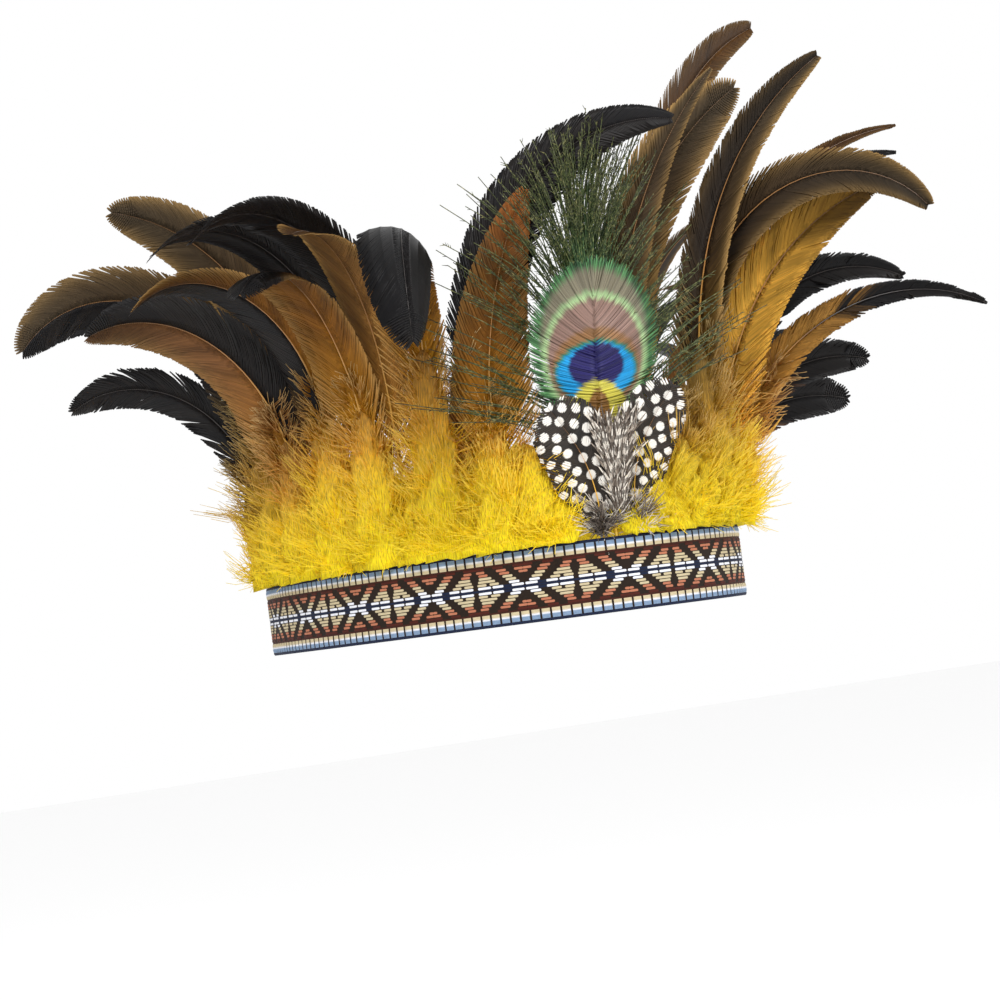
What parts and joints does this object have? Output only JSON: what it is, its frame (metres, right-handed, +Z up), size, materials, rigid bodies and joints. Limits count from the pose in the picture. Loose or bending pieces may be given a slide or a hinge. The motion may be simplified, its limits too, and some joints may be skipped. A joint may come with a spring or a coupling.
{
  "type": "feathered headdress",
  "caption": "Woven ribbon headband with a crown of outward-curling cock-tail feathers, a peacock eye feather and spotted guinea-fowl feathers at the brow.",
  "frame": {"origin": "the middle of the head opening, in the plane of the ribbon's lower edge", "axes": "+Z up along the wearer's head, -Y towards the wearer's face, -X towards the wearer's right"},
  "size_m": [0.3144, 0.2679, 0.207],
  "materials": {
    "woven_ribbon": "jacquard ribbon: a mirrored lattice of crosses and lozenges in white, cream and salmon on dark brown, with rows of small pale blocks and navy edges",
    "black_hackle": "black cock-tail feather with a blue-green gloss, brown at its edge, ragged barbs, and yellow down at its foot",
    "olive_hackle": "olive-brown feather with a golden shaft and a paler, translucent rim",
    "golden_hackle": "golden-orange dyed feather with a bright shaft, turning dark at its tip",
    "brown_hackle": "brown feather, half of it translucent, with a pale shaft",
    "peacock_feather": "iridescent eye of indigo, cyan-blue, bronze and green with loose green-bronze herl",
    "guinea_feather": "black-brown with rows of round white spots and a grey downy foot"
  },
  "bodies": {
    "root": {"headband": "woven_ribbon", "hackle_right_01": "black_hackle", "hackle_right_02": "golden_hackle", "hackle_right_03": "golden_hackle", "hackle_right_04": "brown_hackle", "hackle_right_05": "black_hackle", "hackle_right_06": "golden_hackle", "hackle_right_07": "black_hackle", "hackle_right_08": "golden_hackle", "hackle_right_09": "brown_hackle", "hackle_right_10": "olive_hackle", "hackle_right_11": "olive_hackle", "hackle_right_12": "black_hackle", "hackle_left_01": "olive_hackle", "hackle_left_02": "olive_hackle", "hackle_left_03": "golden_hackle", "hackle_left_04": "olive_hackle", "hackle_left_05": "olive_hackle", "hackle_left_06": "golden_hackle", "hackle_left_07": "brown_hackle", "hackle_left_08": "brown_hackle", "hackle_left_09": "black_hackle", "hackle_left_10": "black_hackle", "hackle_left_11": "black_hackle", "hackle_left_12": "brown_hackle", "hackle_left_13": "brown_hackle", "hackle_left_14": "black_hackle", "hackle_left_15": "brown_hackle", "hackle_left_16": "olive_hackle", "hackle_left_17": "black_hackle", "hackle_left_18": "brown_hackle", "hackle_left_19": "black_hackle", "peacock_eye_feather": "peacock_feather", "guinea_feather_right": "guinea_feather", "guinea_feather_left": "guinea_feather"}
  },
  "joints": []
}
